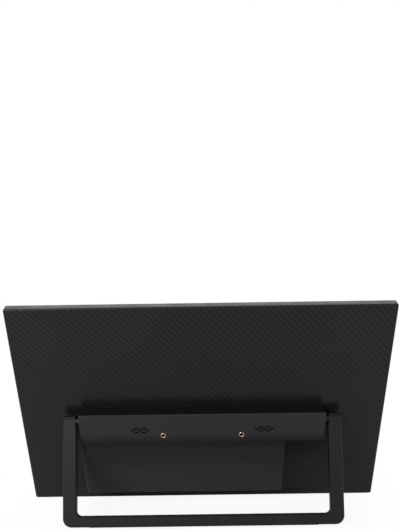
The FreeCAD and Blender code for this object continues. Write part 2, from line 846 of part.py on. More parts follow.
web_out = arm_out - plug_thick - head_room - screw_head_thick
web_in = web_out - arm_web
flat_half = shaft_radius - shaft_flat


def keyed_bar(grow, x):
    """Shaft end with two flats, across x."""
    limits = (pivot_depth - flat_half - grow, pivot_depth + flat_half + grow)
    wide = shaft_radius + grow
    flats = block(x, limits, (pivot_height - wide, pivot_height + wide))
    return cross_rod(wide, x, pivot_depth, pivot_height).common(flats)


tapped = (web_in - screw_grip - fit_gap, web_in)
shaft_right = joined([
    cross_rod(thread_radius, (shaft_in, inner_washer_in), pivot_depth, pivot_height),
    cross_rod(shaft_radius, (inner_washer_in, hump_half), pivot_depth, pivot_height),
    cross_rod(knuckle_radius, (flange_in, flange_out), pivot_depth, pivot_height),
    keyed_bar(0, (hump_half, web_in)),
]).cut(cross_rod(hole_radius, tapped, pivot_depth, pivot_height))


def ring(bore, x):
    """Washer on the hinge shaft."""
    solid = cross_rod(knuckle_radius, x, pivot_depth, pivot_height)
    return solid.cut(cross_rod(bore + shaft_gap, x, pivot_depth, pivot_height))


friction_washers = Part.Compound(
    [pair(ring(shaft_radius, limits))
     for limits in ((outer_washer_in, flange_in), (inner_washer_in, inner_washer_out))])
springs = []
for index in range(spring_count):
    rise = spring_cone if index % 2 else 0
    base = springs_in + index * spring_step
    inner = thread_radius + shaft_gap
    fall = spring_cone - rise
    profile = [(base + fall, inner), (base + rise, knuckle_radius),
               (base + rise + spring_sheet, knuckle_radius), (base + fall + spring_sheet, inner)]
    outline = [Vector(x, pivot_depth + radius, pivot_height) for x, radius in profile]
    face = Part.Face(Part.makePolygon(outline + outline[:1]))
    springs.append(face.revolve(pivot, x_axis, 360))
disc_springs = Part.Compound([pair(spring) for spring in springs])
hexagon = [(nut_in, pivot_depth + knuckle_radius * math.cos(math.radians(60 * side)),
            pivot_height + knuckle_radius * math.sin(math.radians(60 * side))) for side in range(6)]
nut = prism(hexagon, x_axis * nut_thick)
nut = nut.cut(cross_rod(thread_radius + shaft_gap, (nut_in, springs_in), pivot_depth, pivot_height))
hinge_nuts = pair(nut)

# Stand frame: a U seen from behind, its square arm ends short enough to turn clear of the flat back
arm_y = (arm_back_gap, arm_back_gap + arm_depth)
bar_top = bar_lift + bar_height
arm_top = pivot_height + arm_tip
frame_body = block((-arm_out, arm_out), arm_y, (bar_lift, arm_top))
frame_body = frame_body.makeFillet(outer_corner, [
    edge for edge in frame_body.Edges
    if runs_along(edge, y_axis) and edge.BoundBox.ZMax < bar_top])
frame_space = block((-arm_in, arm_in), arm_y, (bar_top, arm_top))
frame_space = frame_space.makeFillet(inner_corner, [
    edge for edge in frame_space.Edges
    if runs_along(edge, y_axis) and edge.BoundBox.ZMax < arm_top - tiny])
frame_body = frame_body.cut(frame_space)
frame_body = frame_body.makeChamfer(
    arm_bevel, edges_at_depth(frame_body, arm_y[0]) + edges_at_depth(frame_body, arm_y[1]))
tip_line_top = arm_top - tip_line_drop
frame_body = frame_body.cut(block(
    (-arm_out, arm_out), (arm_y[1] - tip_line_depth, arm_y[1]),
    (tip_line_top - tip_line_height, tip_line_top)))
arm_boss = cross_rod(arm_knuckle, (hump_half + fit_gap, arm_in + arm_bevel), pivot_depth, pivot_height)
stand_frame = frame_body.multiFuse([arm_boss, mirrored(arm_boss)]).removeSplitter()
plug_radius = screw_head_radius + fit_gap
arm_holes = [
    keyed_bar(shaft_gap, (hump_half + fit_gap, web_in)),
    cross_rod(hole_radius, (web_in, web_out), pivot_depth, pivot_height),
    cross_rod(plug_radius + shaft_gap, (web_out, arm_out), pivot_depth, pivot_height),
]
stand_frame = stand_frame.cut(arm_holes + [mirrored(hole) for hole in arm_holes])
hinge_screw = screw(screw_head_radius, screw_head_thick, screw_radius, arm_web + screw_grip)
hinge_screw = hinge_screw.mirror(middle, y_axis)
hinge_screws = pair(at(Part.Compound([hinge_screw]), web_out, pivot_depth, pivot_height, to_side))
plug = cross_rod(plug_radius, (arm_out - plug_thick, arm_out), pivot_depth, pivot_height)
hinge_plugs = pair(plug)

# Rubber strip under the bar and rubber feet under the casing, with rounded lower edges
def lower_edges(solid, depth):
    """Long lower edges of a strip."""
    return [edge for edge in solid.Edges
            if runs_along(edge, x_axis) and abs(edge.BoundBox.ZMin - depth) < tiny * 100]


pad_half = arm_in - pad_margin
pad_y = (arm_y[0] + arm_bevel, arm_y[1] - arm_bevel)
pad_low = bar_lift - pad_thick
stand_pad = block((-pad_half, pad_half), pad_y, (pad_low, bar_lift))
stand_pad = stand_pad.makeFillet(pad_round, lower_edges(stand_pad, pad_low))
foot_x = casing_half - foot_inset
foot_y = (seam - seam_bevel - foot_depth, seam - seam_bevel)
foot = rounded_block(
    (foot_x - foot_length / 2, foot_x + foot_length / 2), foot_y, (-foot_thick, 0), foot_corner, z_axis)
bottom_rim = [edge for edge in foot.Edges if edge.BoundBox.ZMax < tiny - foot_thick]
right_foot = foot.makeFillet(foot_round, bottom_rim)

# Lean of the monitor: the line that touches the rounded foot edge and the rounded pad edge
foot_touch = Vector(0, foot_y[1] - foot_round, foot_round - foot_thick)
swing = Placement(middle, Rotation(x_axis, stand_open), pivot)
pad_touch = swing.multVec(Vector(0, pad_y[0] + pad_round, pad_low + pad_round))
span = pad_touch.sub(foot_touch)
lean_angle = math.degrees(math.atan2(span.z, span.y) - math.asin((pad_round - foot_round) / span.Length))

fixed_pieces = {
    "front_bezel": front_bezel,
    "bezel_tape": bezel_tape,
    "lcd_glass": lcd_glass,
    "optical_films": optical_films,
    "light_guide_plate": light_guide_plate,
    "reflector_sheet": reflector_sheet,
    "led_strip": led_strip,
    "panel_tray": panel_tray,
    "panel_driver_board": panel_driver_board,
    "driver_board_pad": driver_pad,
    "panel_flexes": panel_flexes,
    "panel_ribbon": panel_ribbon,
    "rear_cover": rear_cover,
    "main_board": main_board,
    "board_screws": board_screws,
    "shield_can": shield_can,
    "scaler_chip": scaler_chip,
    "power_coils": power_coils,
    "usb_c_sockets": usb_c_sockets,
    "mini_hdmi_socket": mini_hdmi_socket,
    "audio_jack": audio_jack,
    "left_speaker": left_speaker,
    "right_speaker": right_speaker,
    "speaker_cones": speaker_cones,
    "speaker_cloths": speaker_cloths,
    "speaker_leads": speaker_leads,
    "threaded_inserts": threaded_inserts,
    "power_key": power_key,
    "menu_key": menu_key,
    "up_key": up_key,
    "down_key": down_key,
    "key_board": key_board,
    "key_switches": key_switches,
    "key_board_screws": key_board_screws,
    "key_ribbon": key_ribbon,
    "hinge_bracket_right": bracket_right,
    "hinge_bracket_left": mirrored(bracket_right),
    "bracket_screws": bracket_screws,
    "right_foot": right_foot,
    "left_foot": mirrored(right_foot),
}
swung_pieces = {
    "stand_frame": stand_frame,
    "stand_pad": stand_pad,
    "hinge_shaft_right": shaft_right,
    "hinge_shaft_left": mirrored(shaft_right),
    "friction_washers": friction_washers,
    "disc_springs": disc_springs,
    "hinge_nuts": hinge_nuts,
    "hinge_screws": hinge_screws,
    "hinge_plugs": hinge_plugs,
}

# Stand swung out, monitor leaned back, lowest point on the table and middle of the depth at y = 0
lean = Placement(middle, Rotation(x_axis, -lean_angle))
pieces = {name: placed(solid, lean) for name, solid in fixed_pieces.items()}
pieces.update({name: placed(solid, lean.multiply(swing)) for name, solid in swung_pieces.items()})
table = lean.multVec(foot_touch).z - foot_round
whole = Part.Compound(list(pieces.values())).optimalBoundingBox(False, False)
shift = Vector(0, -(whole.YMin + whole.YMax) / 2, -table)

os.makedirs("parts", exist_ok=True)
for name, solid in pieces.items():
    solid.translate(shift)
    solid.exportStep("parts/" + name + ".step")
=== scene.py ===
import json
import math

import bmesh
import bpy
from mathutils import Matrix, Vector


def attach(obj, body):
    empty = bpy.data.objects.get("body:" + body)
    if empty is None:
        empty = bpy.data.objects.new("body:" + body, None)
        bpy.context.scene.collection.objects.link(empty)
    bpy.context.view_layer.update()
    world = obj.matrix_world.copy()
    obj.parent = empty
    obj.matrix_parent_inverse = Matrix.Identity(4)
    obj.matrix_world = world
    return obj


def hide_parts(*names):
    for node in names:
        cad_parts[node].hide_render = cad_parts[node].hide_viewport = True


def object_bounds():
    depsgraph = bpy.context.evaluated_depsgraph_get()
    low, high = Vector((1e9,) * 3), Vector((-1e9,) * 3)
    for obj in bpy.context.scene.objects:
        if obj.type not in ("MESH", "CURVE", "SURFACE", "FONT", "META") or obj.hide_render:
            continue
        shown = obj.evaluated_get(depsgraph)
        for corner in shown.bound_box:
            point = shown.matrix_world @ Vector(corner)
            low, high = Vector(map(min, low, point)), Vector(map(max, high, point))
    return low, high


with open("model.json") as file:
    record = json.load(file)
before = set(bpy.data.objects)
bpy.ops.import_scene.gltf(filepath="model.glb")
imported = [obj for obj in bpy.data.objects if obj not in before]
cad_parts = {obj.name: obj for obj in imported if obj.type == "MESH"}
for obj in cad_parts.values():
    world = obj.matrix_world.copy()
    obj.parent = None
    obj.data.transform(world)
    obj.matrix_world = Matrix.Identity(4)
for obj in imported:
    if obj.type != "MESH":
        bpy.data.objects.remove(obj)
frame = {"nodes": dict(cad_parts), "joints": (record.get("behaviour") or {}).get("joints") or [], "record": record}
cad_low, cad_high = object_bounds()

record = frame["record"]
nodes = frame["nodes"]
mm = 0.001

# Panel frame: x right seen from the screen, y to the rear from the flat back, z up from the lower edge.
# It leans with the casing, and is found from the hinge line and the axis of the threaded inserts.
hinge_depth = 9.2 * mm
hinge_height = 102.9 * mm
inserts = [mount for mount in record["mounts"] if mount["kind"] == "threaded_hole"]
hinge_line = Vector(next(joint["pos_m"] for joint in frame["joints"] if joint["name"] == "stand_hinge"))
lean = math.asin(-inserts[0]["axis"][2])
panel_origin = hinge_line - Matrix.Rotation(-lean, 3, "X") @ Vector((0, hinge_depth, hinge_height))
panel_place = Matrix.Translation(panel_origin) @ Matrix.Rotation(-lean, 4, "X")
into_panel = panel_place.inverted()

# Housing, in the panel frame
housing_low = 17.4 * mm
housing_bend = 81.8 * mm
housing_high = 112.9 * mm
low_depth = 13.0 * mm
bend_depth = 18.2 * mm
high_depth = 14.8 * mm
skin = 0.9 * mm

# Screen, in the panel frame
screen_width = 344.2 * mm
screen_height = 193.6 * mm
screen_low = 20.6 * mm

# Weave of the back: full near the top, faint low down, and seen on the housing mostly at its bend
tow_across = 1.50 * mm
tow_along = 1.61 * mm
tow_relief = 0.05 * mm
tows_in_repeat = 4
strands_in_tow = 6
faint_weave = 0.3
faint_below = 50.0 * mm
full_above = 190.0 * mm
housing_weave = 0.22
bend_weave = 1.0
# Height band over the housing's bend that is painted darker as shade, and where its weave shows most
bend_start = 70.0 * mm
bend_end = 95.0 * mm

# Fine surface patterns
rubbed_width = 0.8 * mm
mesh_pitch = 0.4 * mm
turning_pitch = 0.12 * mm
copper_pitch = 1.1 * mm

# Stand, measured up the arms from the hinge line
stand_open = math.radians(34.0)
arm_up = Vector((0, -math.sin(stand_open - lean), math.cos(stand_open - lean)))
tip_line = 2.1 * mm
tip_blend = 0.3 * mm

# Threaded inserts, both alike
insert_radius = 2.8 * mm
insert_bore = inserts[0]["dims"]["r_mm"] * mm
insert_half = inserts[0]["dims"]["length_mm"] * mm / 2
mouth_bevel = 0.3 * mm
thread_pitch = 0.7 * mm
thread_depth = 0.3 * mm
lathe_steps = 48
sharp_angle = math.radians(25.0)

# Contacts in the two oval sockets and the wide one, and the ring of the jack
tongue_start = 0.9 * mm
tongue_reach = 3.6 * mm
tongue_skin = 0.05 * mm
contact_inset = 0.3 * mm
contact_length = 3.0 * mm
contact_width = 0.24 * mm
contact_rise = 0.04 * mm
oval_width = 8.94 * mm
oval_tongue_half = 0.35 * mm
oval_strips = 12
oval_pitch = 0.5 * mm
wide_tongue_half = 0.3 * mm
wide_strips = 10
wide_pitch = 0.7 * mm
jack_ring_bore = 1.82 * mm
jack_ring_radius = 2.35 * mm
jack_ring_thick = 0.12 * mm

# Raised marks on the keys, with the sides and the turn of each
mark_rise = 0.12 * mm
mark_radius = 1.0 * mm
mark_taper = 0.85
key_marks = {
    "power_key": (24, 0.0),
    "menu_key": (4, 0.0),
    "up_key": (3, 0.0),
    "down_key": (3, math.pi),
}

# Camera
image_height = 529
eye = Vector((-0.54, 608.07, 296.00)) * mm
heading = math.radians(180.187)
look_down = math.radians(14.018)
roll = math.radians(-0.852)
focal_pixels = 658.79
centre_row = 370.0
sensor = 36.0

# Room, with the place, width, height and watts of each lamp
room_light = 0.45
floor_size = 8.0
floor_tone = 0.65
floor_white = 0.9
floor_mirrored = 0.2
fade_start = 0.15
fade_end = 0.42
fade_sideways = 1.8
lamps = {
    "top_box": (Vector((0.0, -0.75, 1.15)), 1.2, 0.7, 8.0),
    "rear_box": (Vector((0.9, 0.9, 1.0)), 0.8, 0.8, 26.0),
}


def panel_box(name):
    """Lowest and highest corner of a node, in the panel frame."""
    corners = [into_panel @ vertex.co for vertex in nodes[name].data.vertices]
    low = Vector([min(corner[axis] for corner in corners) for axis in range(3)])
    high = Vector([max(corner[axis] for corner in corners) for axis in range(3)])
    return low, high


bezel_high = panel_box("front_bezel")[1]
oval_low, oval_high = panel_box("usb_c_sockets")
wide_low, wide_high = panel_box("mini_hdmi_socket")
jack_low, jack_high = panel_box("audio_jack")
oval_middles = [oval_low.z + oval_width / 2, oval_high.z - oval_width / 2]
oval_depth = (oval_low.y + oval_high.y) / 2
wide_middles = [(wide_low.z + wide_high.z) / 2]
wide_depth = (wide_low.y + wide_high.y) / 2


class Value:
    """A shader socket that can be added, multiplied and compared like a number."""

    def __init__(self, shade, socket):
        self.shade = shade
        self.socket = socket

    def maths(self, operation, first, second=0.0):
        return self.shade.node("ShaderNodeMath", {"operation": operation}, {0: first, 1: second})

    def __add__(self, other):
        return self.maths("ADD", self, other)

    __radd__ = __add__

    def __sub__(self, other):
        return self.maths("SUBTRACT", self, other)

    def __rsub__(self, other):
        return self.maths("SUBTRACT", other, self)

    def __mul__(self, other):
        return self.maths("MULTIPLY", self, other)

    __rmul__ = __mul__

    def __truediv__(self, other):
        return self.maths("DIVIDE", self, other)

    def __mod__(self, other):
        return self.maths("FLOORED_MODULO", self, other)

    def __lt__(self, other):
        return self.maths("LESS_THAN", self, other)

    def __gt__(self, other):
        return self.maths("GREATER_THAN", self, other)

    def __abs__(self):
        return self.maths("ABSOLUTE", self)

    def floor(self):
        return self.maths("FLOOR", self)

    def sine(self):
        return self.maths("SINE", self)

    def root(self):
        return self.maths("SQRT", self)

    def lower(self, other):
        return self.maths("MINIMUM", self, other)

    def higher(self, other):
        return self.maths("MAXIMUM", self, other)


class Shade:
    """Adds nodes to one node tree."""

    def __init__(self, tree):
        self.tree = tree
        tree.nodes.clear()

    def node(self, kind, settings=None, inputs=None, output=0):
        """Adds any node: its settings first, then the values or links of its sockets."""
        made = self.tree.nodes.new(kind)
        for name, value in (settings or {}).items():
            setattr(made, name, value)
        for name, value in (inputs or {}).items():
            if isinstance(value, Value):
                self.tree.links.new(value.socket, made.inputs[name])
            else:
                made.inputs[name].default_value = value
        return Value(self, made.outputs[output]) if made.outputs else None

    def point(self):
        return self.node("ShaderNodeTexCoord", output="Object")

    def along(self, axes, vector):
        """The numbers of a vector along the axes asked for."""
        return [self.node("ShaderNodeSeparateXYZ", {}, {0: vector}, axis) for axis in axes]

    def panel_point(self, axes):
        """Position in the panel frame along the axes asked for."""
        origin = Matrix.Rotation(lean, 3, "X") @ panel_origin
        return self.along(axes, self.node("ShaderNodeMapping", {}, {
            "Vector": self.point(), "Rotation": (lean, 0, 0), "Location": -origin}))

    def vector(self, operation, first, second, output="Vector"):
        return self.node("ShaderNodeVectorMath", {"operation": operation}, {0: first, 1: second}, output)

    def noise(self, scale, detail=2.0):
        return self.node("ShaderNodeTexNoise", {}, {
            "Vector": self.point(), "Scale": scale, "Detail": detail})

    def mix(self, factor, first, second):
        return self.node("ShaderNodeMix", {"data_type": "RGBA"}, {0: factor, 6: first, 7: second}, 2)

    def ramp(self, value, start, stop, low=0.0, high=1.0):
        """A soft step from low to high between two values."""
        return self.node("ShaderNodeMapRange", {"interpolation_type": "SMOOTHSTEP"}, {
            "Value": value, "From Min": start, "From Max": stop, "To Min": low, "To Max": high})

    def bump(self, height, distance, strength=1.0):
        return self.node("ShaderNodeBump", {}, {
            "Height": height, "Distance": distance, "Strength": strength})

    def seen(self):
        """Rays that look straight at the background, and rays that see it in a gloss or through glass."""
        kinds = ("Is Camera Ray", "Is Glossy Ray", "Is Transmission Ray")
        camera, glossy, clear = [self.node("ShaderNodeLightPath", output=kind) for kind in kinds]
        return camera, glossy.higher(clear)

    def surface(self, **sockets):
        """Closes a material with one shader; a socket's spaces are written as low lines."""
        inputs = {name.replace("_", " "): value for name, value in sockets.items()}
        shader = self.node("ShaderNodeBsdfPrincipled", {}, inputs)
        self.node("ShaderNodeOutputMaterial", {}, {"Surface": shader})


def paint(red, green, blue):
    """Linear colour from screen values of 0 to 255."""
    parts = [level / 255 for level in (red, green, blue)]
    linear = [part / 12.92 if part < 0.04045 else ((part + 0.055) / 1.055) ** 2.4 for part in parts]
    return linear + [1.0]


def toned(colour, share):
    """The same colour, lighter or darker by a share."""
    return [level * share for level in colour[:3]] + [1.0]


def new_finish(name):
    """Empty material, and what adds nodes to it."""
    material = bpy.data.materials.new(name)
    material.use_nodes = True
    return material, Shade(material.node_tree)


def grained(name, colour, roughness, grain, contrast=0.12, relief=0.01 * mm, metallic=0.0, gloss=0.3):
    """Fine grain with broad soft patches, in tone, sheen and relief."""
    material, shade = new_finish(name)
    fine = shade.noise(grain, 3.0)
    patches = shade.noise(grain / 40)
    tone = fine * 0.6 + patches * 0.4
    shade.surface(
        Base_Color=shade.mix(tone, toned(colour, 1 - contrast), toned(colour, 1 + contrast)),
        Roughness=roughness + (patches - 0.5) * 0.12 + (fine - 0.5) * 0.08,
        Normal=shade.bump(fine, relief),
        Metallic=metallic,
        Specular_IOR_Level=gloss,
    )
    return material


def twill(x, z):
    """Where the upright tows of the weave lie on top, how tows crown, and their strands."""
    across = x / tow_across
    along = z / tow_along
    upright = ((across.floor() - along.floor()) % tows_in_repeat) < tows_in_repeat / 2
    across_part = across - across.floor() - 0.5
    along_part = along - along.floor() - 0.5
    crown_across = 1 - 4 * across_part * across_part
    crown_along = 1 - 4 * along_part * along_part
    strand_across = (across * (2 * math.pi * strands_in_tow)).sine()
    strand_along = (along * (2 * math.pi * strands_in_tow)).sine()
    crown = upright * crown_across + (1 - upright) * crown_along
    strands = upright * strand_across + (1 - upright) * strand_along
    return upright, crown, strands


def housing_depth(z):
    """Depth of the housing's rear face at a height, below and above its bend."""
    lower_slope = (bend_depth - low_depth) / (housing_bend - housing_low)
    upper_slope = (high_depth - bend_depth) / (housing_high - housing_bend)
    lower_face = low_depth + (z - housing_low) * lower_slope
    upper_face = high_depth + (z - housing_high) * upper_slope
    return lower_face.lower(upper_face)


def woven_cover():
    """Black woven back under a satin lacquer; the housing is lighter, partly its own moulding and partly painted
    light, and painted shade darkens its walls and its bend.
    """
    material, shade = new_finish("woven_cover")
    x, y, z = shade.panel_point("XYZ")
    upright, crown, strands = twill(x, z)
    on_housing = y > housing_depth(z) - skin
    on_back = (abs(y) < skin / 2) * (z > 0)
    # Painted shade: the walls of the housing and of the recesses take the darker plain colour for the shade that
    # falls on them
    shaded_walls = (y > skin / 2) * (1 - on_housing)
    rim = (z > 0) * (y < -skin / 2)
    # Painted shade: a darker band over the bend of the housing stands in for the shade and dark reflection there,
    # and the weave shows more in it too
    bend_shade_and_weave = shade.ramp(z, bend_start, housing_bend) * shade.ramp(z, housing_bend, bend_end, 1.0, 0.0)
    back_weave = on_back * shade.ramp(z, faint_below, full_above, faint_weave, 1.0)
    woven = back_weave.higher(on_housing * (housing_weave + (bend_weave - housing_weave) * bend_shade_and_weave))
    grain = shade.noise(2600.0, 2.0)
    patches = shade.noise(14.0)
    tone = 0.5 + woven * (0.48 * (upright - 0.5) + 0.32 * (crown - 0.6) + 0.06 * strands)
    tone = tone + (grain - 0.5) * 0.3 + (patches - 0.5) * 0.2
    weave = shade.mix(tone, paint(4, 4, 5), paint(32, 32, 35))
    # Housing colour lighter than the back: partly its smoother moulding, partly painted light for its upper face
    moulding_and_light = shade.mix(tone, paint(20, 20, 22), paint(46, 46, 50))
    # Darker plain colour: painted shade on the walls and over the bend of the housing
    plain = shade.mix(tone, paint(3, 3, 4), paint(23, 23, 25))
    shade.surface(
        Base_Color=shade.mix(shaded_walls.higher(on_housing * bend_shade_and_weave), shade.mix(on_housing, weave, moulding_and_light), plain),
        Roughness=0.27 + woven * (0.5 - upright) * 0.08 + (patches - 0.5) * 0.06 + (grain - 0.5) * 0.08,
        Normal=shade.bump(woven * (crown + 0.12 * strands) + grain * (0.25 - 0.2 * rim), tow_relief, 0.6),
        Specular_IOR_Level=0.18,
    )
    return material


def bezel_satin():
    """Dark satin bezel with a fine spark-eroded grain and lightly rubbed outer edges."""
    material, shade = new_finish("bezel_satin")
    x, z = shade.panel_point("XZ")
    grain = shade.noise(3200.0, 3.0)
    patches = shade.noise(18.0)
    side_edge = shade.ramp(abs(x), bezel_high.x - rubbed_width, bezel_high.x)
    top_edge = shade.ramp(z, bezel_high.z - rubbed_width, bezel_high.z)
    rubbed = side_edge.higher(top_edge) * shade.ramp(shade.noise(60.0, 4.0), 0.35, 0.75)
    tone = grain * 0.5 + patches * 0.4 + rubbed * 0.4
    shade.surface(
        Base_Color=shade.mix(tone, paint(8, 8, 9), paint(26, 26, 28)),
        Roughness=0.44 + (grain - 0.5) * 0.12 + (patches - 0.5) * 0.08 - rubbed * 0.08,
        Normal=shade.bump(grain, 0.012 * mm, 0.4),
        Specular_IOR_Level=0.2,
    )
    return material


def anodised_frame():
    """Dark anodised metal, bead blasted, with patches polished by hands and darker arm tips."""
    material, shade = new_finish("anodised_frame")
    blast = shade.noise(3800.0, 2.0)
    patches = shade.noise(26.0, 3.0)
    handled = shade.ramp(patches, 0.48, 0.7)
    tone = blast * 0.5 + patches * 0.5
    from_hinge = shade.vector("SUBTRACT", shade.point(), hinge_line)
    height = shade.vector("DOT_PRODUCT", from_hinge, arm_up, "Value")
    tip = shade.ramp(height, tip_line - tip_blend, tip_line + tip_blend)
    frame_tone = shade.mix(tone, paint(34, 34, 36), paint(47, 47, 50))
    tip_tone = shade.mix(tone, paint(28, 28, 30), paint(40, 40, 42))
    shade.surface(
        Base_Color=shade.mix(tip, frame_tone, tip_tone),
        Roughness=0.44 + (blast - 0.5) * 0.12 - handled * 0.06 + tip * 0.06,
        Normal=shade.bump(blast, 0.012 * mm, 0.5),
        Metallic=1.0,
    )
    return material


def screen_picture():
    """Glossy lit screen: soft hills in violet and magenta with pale crests under a dusky sky."""
    material, shade = new_finish("screen_picture")
    x, z = shade.panel_point("XZ")
    side = x / screen_width + 0.5
    rise = (z - screen_low) / screen_height
    drift = shade.noise(9.0) - 0.5
    dusk = shade.mix(side, paint(70, 20, 92), paint(104, 78, 170))
    picture = shade.mix(shade.ramp(rise + 0.12 * drift, 0.55, 0.98), paint(255, 200, 246), dusk)
    # Level, swell, count and phase of each ridge, then its lit and its shaded colour
    ridges = (
        (0.66, 0.07, 3.1, 0.4, (244, 176, 244), (150, 84, 204)),
        (0.54, 0.09, 4.4, 2.1, (226, 132, 232), (104, 52, 168)),
        (0.42, 0.08, 3.6, 4.0, (190, 96, 210), (74, 34, 132)),
        (0.29, 0.07, 5.2, 0.9, (146, 70, 182), (50, 22, 96)),
        (0.15, 0.06, 4.1, 3.2, (104, 52, 150), (26, 12, 50)),
    )
    for level, swell, count, phase, lit, shaded in ridges:
        ridge = level + swell * (side * count + phase).sine()
        ridge = ridge + 0.35 * swell * (side * (2.3 * count) + 2 * phase).sine() + 0.05 * drift
        below = ridge - rise
        slope = shade.mix(shade.ramp(below, 0.0, 0.22), paint(*lit), paint(*shaded))
        slope = shade.mix(shade.ramp(below, 0.0, 0.014, 0.85, 0.0), slope, paint(255, 238, 254))
        picture = shade.mix(shade.ramp(below, -0.004, 0.004), picture, slope)
    lit_area = (abs(x) < screen_width / 2) * (abs(rise - 0.5) < 0.5)
    picture = shade.mix(lit_area, paint(0, 0, 0), picture)
    smudge = shade.noise(22.0, 3.0)
    shade.surface(
        Base_Color=paint(6, 6, 8),
        Roughness=0.14 + 0.08 * smudge,
        Specular_IOR_Level=0.18,
        Emission_Color=picture,
        Emission_Strength=1.0,
    )
    return material


def socket_shells(name, tongue_middles, depth, half_thick):
    """Plated steel shells with black contact tongues inside."""
    material, shade = new_finish(name)
    y, z = shade.panel_point("YZ")
    grain = shade.noise(1500.0, 3.0)
    patches = shade.noise(120.0)
    inside = abs(y - depth) < half_thick + tongue_skin
    reach = abs(z - tongue_middles[0])
    for middle in tongue_middles[1:]:
        reach = reach.lower(abs(z - middle))
    tongue = inside * (reach < tongue_reach)
    steel = shade.mix(grain * 0.5 + patches * 0.5, paint(150, 150, 153), paint(196, 196, 199))
    shade.surface(
        Base_Color=shade.mix(tongue, steel, paint(16, 16, 17)),
        Roughness=0.28 + 0.16 * patches + tongue * 0.2,
        Metallic=1 - tongue,
        Normal=shade.bump(grain, 0.006 * mm, 0.5),
    )
    return material


def mesh_cloth():
    """Fine black mesh behind the grille slots."""
    material, shade = new_finish("mesh_cloth")
    x, z = shade.panel_point("XZ")
    turns = 2 * math.pi / mesh_pitch
    mesh = (x * turns).sine() * (z * turns).sine()
    fluff = shade.noise(900.0, 3.0)
    shade.surface(
        Base_Color=shade.mix(mesh * 0.4 + fluff * 0.4 + 0.1, paint(1, 1, 1), paint(9, 9, 10)),
        Roughness=0.85 + 0.1 * fluff,
        Normal=shade.bump(mesh, 0.05 * mm),
        Specular_IOR_Level=0.03,
    )
    return material


def turned_brass():
    """Dull turned brass with oil and shade in the threads."""
    material, shade = new_finish("turned_brass")
    x, y, z = shade.panel_point("XYZ")
    spot = into_panel @ Vector(inserts[0]["pos_m"])
    mouth = spot.y + insert_half
    aside = abs(x) - abs(spot.x)
    above = z - spot.z
    from_axis = (aside * aside + above * above).root()
    within = from_axis < insert_bore + thread_depth + mouth_bevel
    bright = 1 - within * shade.ramp(y, mouth - mouth_bevel, mouth, 1.0, 0.0)
    turning = (from_axis * (2 * math.pi / turning_pitch)).sine()
    grain = shade.noise(1600.0, 3.0)
    patches = shade.noise(240.0)
    tone = grain * 0.4 + patches * 0.4 + turning * 0.1
    brass = shade.mix(tone, paint(138, 117, 100), paint(184, 160, 142))
    shade.surface(
        Base_Color=shade.mix(bright, paint(12, 9, 8), brass),
        Roughness=0.34 + 0.1 * (patches - 0.5) + 0.06 * (grain - 0.5),
        Metallic=1.0,
        Normal=shade.bump(turning * bright, 0.004 * mm, 0.5),
    )
    return material


def circuit_green():
    """Green board with fine copper lines under the mask."""
    material, shade = new_finish("circuit_green")
    [x] = shade.panel_point("X")
    wander = shade.noise(90.0) * 3.0
    lines = ((x / copper_pitch + wander) % 1.0 < 0.35) * (shade.noise(45.0) > 0.48)
    grain = shade.noise(1400.0, 2.0)
    shade.surface(
        Base_Color=shade.mix(lines * 0.7 + grain * 0.3, paint(18, 74, 44), paint(58, 122, 74)),
        Roughness=0.36 + 0.14 * grain,
        Normal=shade.bump(lines, 0.02 * mm, 0.5),
    )
    return material


finishes = {
    "cover_plastic": woven_cover(),
    "bezel_plastic": bezel_satin(),
    "stand_metal": anodised_frame(),
    "screen_glass": screen_picture(),
    "clear_plastic": grained("clear_plate", paint(224, 228, 232), 0.2, 500.0, 0.04),
    "white_plastic": grained("white_film", paint(236, 236, 234), 0.4, 700.0, 0.04),
    "tray_metal": grained("bare_sheet", paint(190, 192, 196), 0.36, 900.0, 0.08, metallic=1.0),
    "circuit_board": circuit_green(),
    "tape": grained("foam_tape", paint(22, 22, 22), 0.9, 1200.0, 0.25, 0.05 * mm, gloss=0.1),
    "flex": grained("amber_film", paint(168, 112, 44), 0.3, 500.0, 0.1),
    "ribbon": grained("flat_cable", paint(222, 220, 212), 0.42, 600.0, 0.06),
    "steel": grained("plain_steel", paint(158, 158, 162), 0.34, 1100.0, 0.12, metallic=1.0),
    "blackened_steel": grained("blackened_steel", paint(52, 52, 55), 0.4, 1100.0, 0.18, metallic=1.0),
    "chip": grained("moulded_chip", paint(26, 26, 28), 0.6, 1800.0, 0.18),
    "socket_steel": socket_shells("plated_shells", oval_middles, oval_depth, oval_tongue_half),
    "jack_plastic": grained("jack_moulding", paint(20, 20, 21), 0.45, 1500.0, 0.16),
    "speaker_plastic": grained("speaker_moulding", paint(30, 30, 32), 0.55, 1500.0, 0.16),
    "cone_paper": grained("pressed_paper", paint(34, 33, 32), 0.85, 700.0, 0.25, 0.04 * mm, gloss=0.1),
    "cloth": mesh_cloth(),
    "wire": grained("red_wire", paint(140, 22, 20), 0.5, 900.0, 0.1),
    "brass": turned_brass(),
    "key_plastic": grained("key_satin", paint(26, 26, 28), 0.46, 2400.0, 0.18),
    "rubber": grained("matt_rubber", paint(20, 20, 20), 0.88, 1500.0, 0.3, 0.03 * mm, gloss=0.12),
    "plug_plastic": grained("plug_satin", paint(16, 16, 17), 0.5, 2200.0, 0.16, gloss=0.2),
}
contact_gold = grained("gilt_contacts", paint(232, 192, 112), 0.22, 2200.0, 0.08, 0.003 * mm, metallic=1.0)
ring_nickel = grained("bright_nickel", paint(200, 198, 192), 0.2, 1800.0, 0.08, 0.004 * mm, metallic=1.0)
wide_shell = socket_shells("plated_wide_shell", wide_middles, wide_depth, wide_tongue_half)

for part in record["subparts"]:
    for place in nodes[part["node"]].material_slots:
        place.material = finishes[part["material_slot"]]
for place in nodes["mini_hdmi_socket"].material_slots:
    place.material = wide_shell


